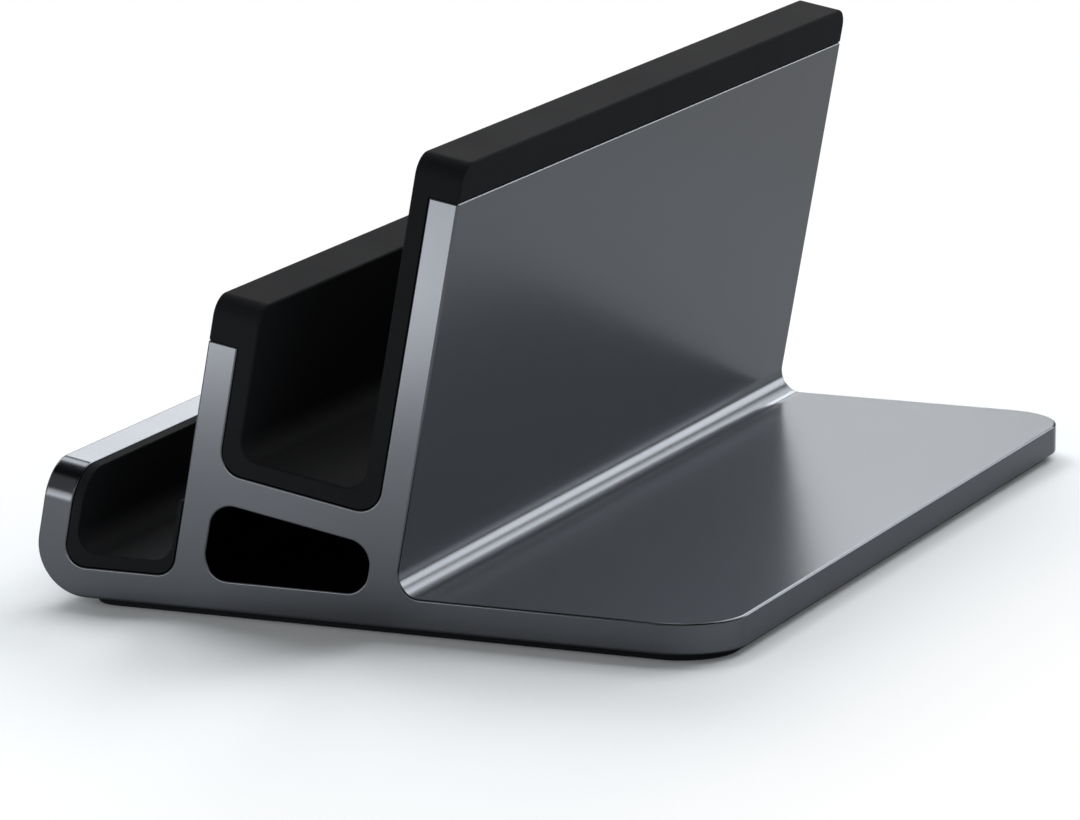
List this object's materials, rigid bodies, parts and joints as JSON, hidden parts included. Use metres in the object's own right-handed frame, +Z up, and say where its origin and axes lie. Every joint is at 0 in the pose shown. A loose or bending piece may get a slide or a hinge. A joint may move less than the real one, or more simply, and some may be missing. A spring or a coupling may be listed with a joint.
{
  "type": "vertical laptop stand",
  "caption": "Desk stand that holds closed laptops upright: an aluminium extrusion with a flat base plate, a lip and leaning walls forming slots lined with black silicone.",
  "frame": {"origin": "on the desk surface under the middle of the stand's bounding box, at the bottom face of the base pad", "axes": "+Z up from the desk; +Y along the extrusion, the stand's longest side; +X from the lip across the slots to the free edge of the base plate"},
  "size_m": [0.1028, 0.15, 0.0676],
  "materials": {
    "anodised_aluminium": "bead-blasted, grey anodised, satin",
    "silicone_rubber": "moulded black silicone, matt",
    "adhesive_tape": "thin double-sided tape"
  },
  "bodies": {
    "root": {"extruded_body": "anodised_aluminium", "wide_slot_liner": "silicone_rubber", "narrow_slot_liner": "silicone_rubber", "base_pad": "silicone_rubber", "wide_liner_tape": "adhesive_tape", "narrow_liner_tape": "adhesive_tape", "base_pad_tape": "adhesive_tape"}
  },
  "joints": []
}
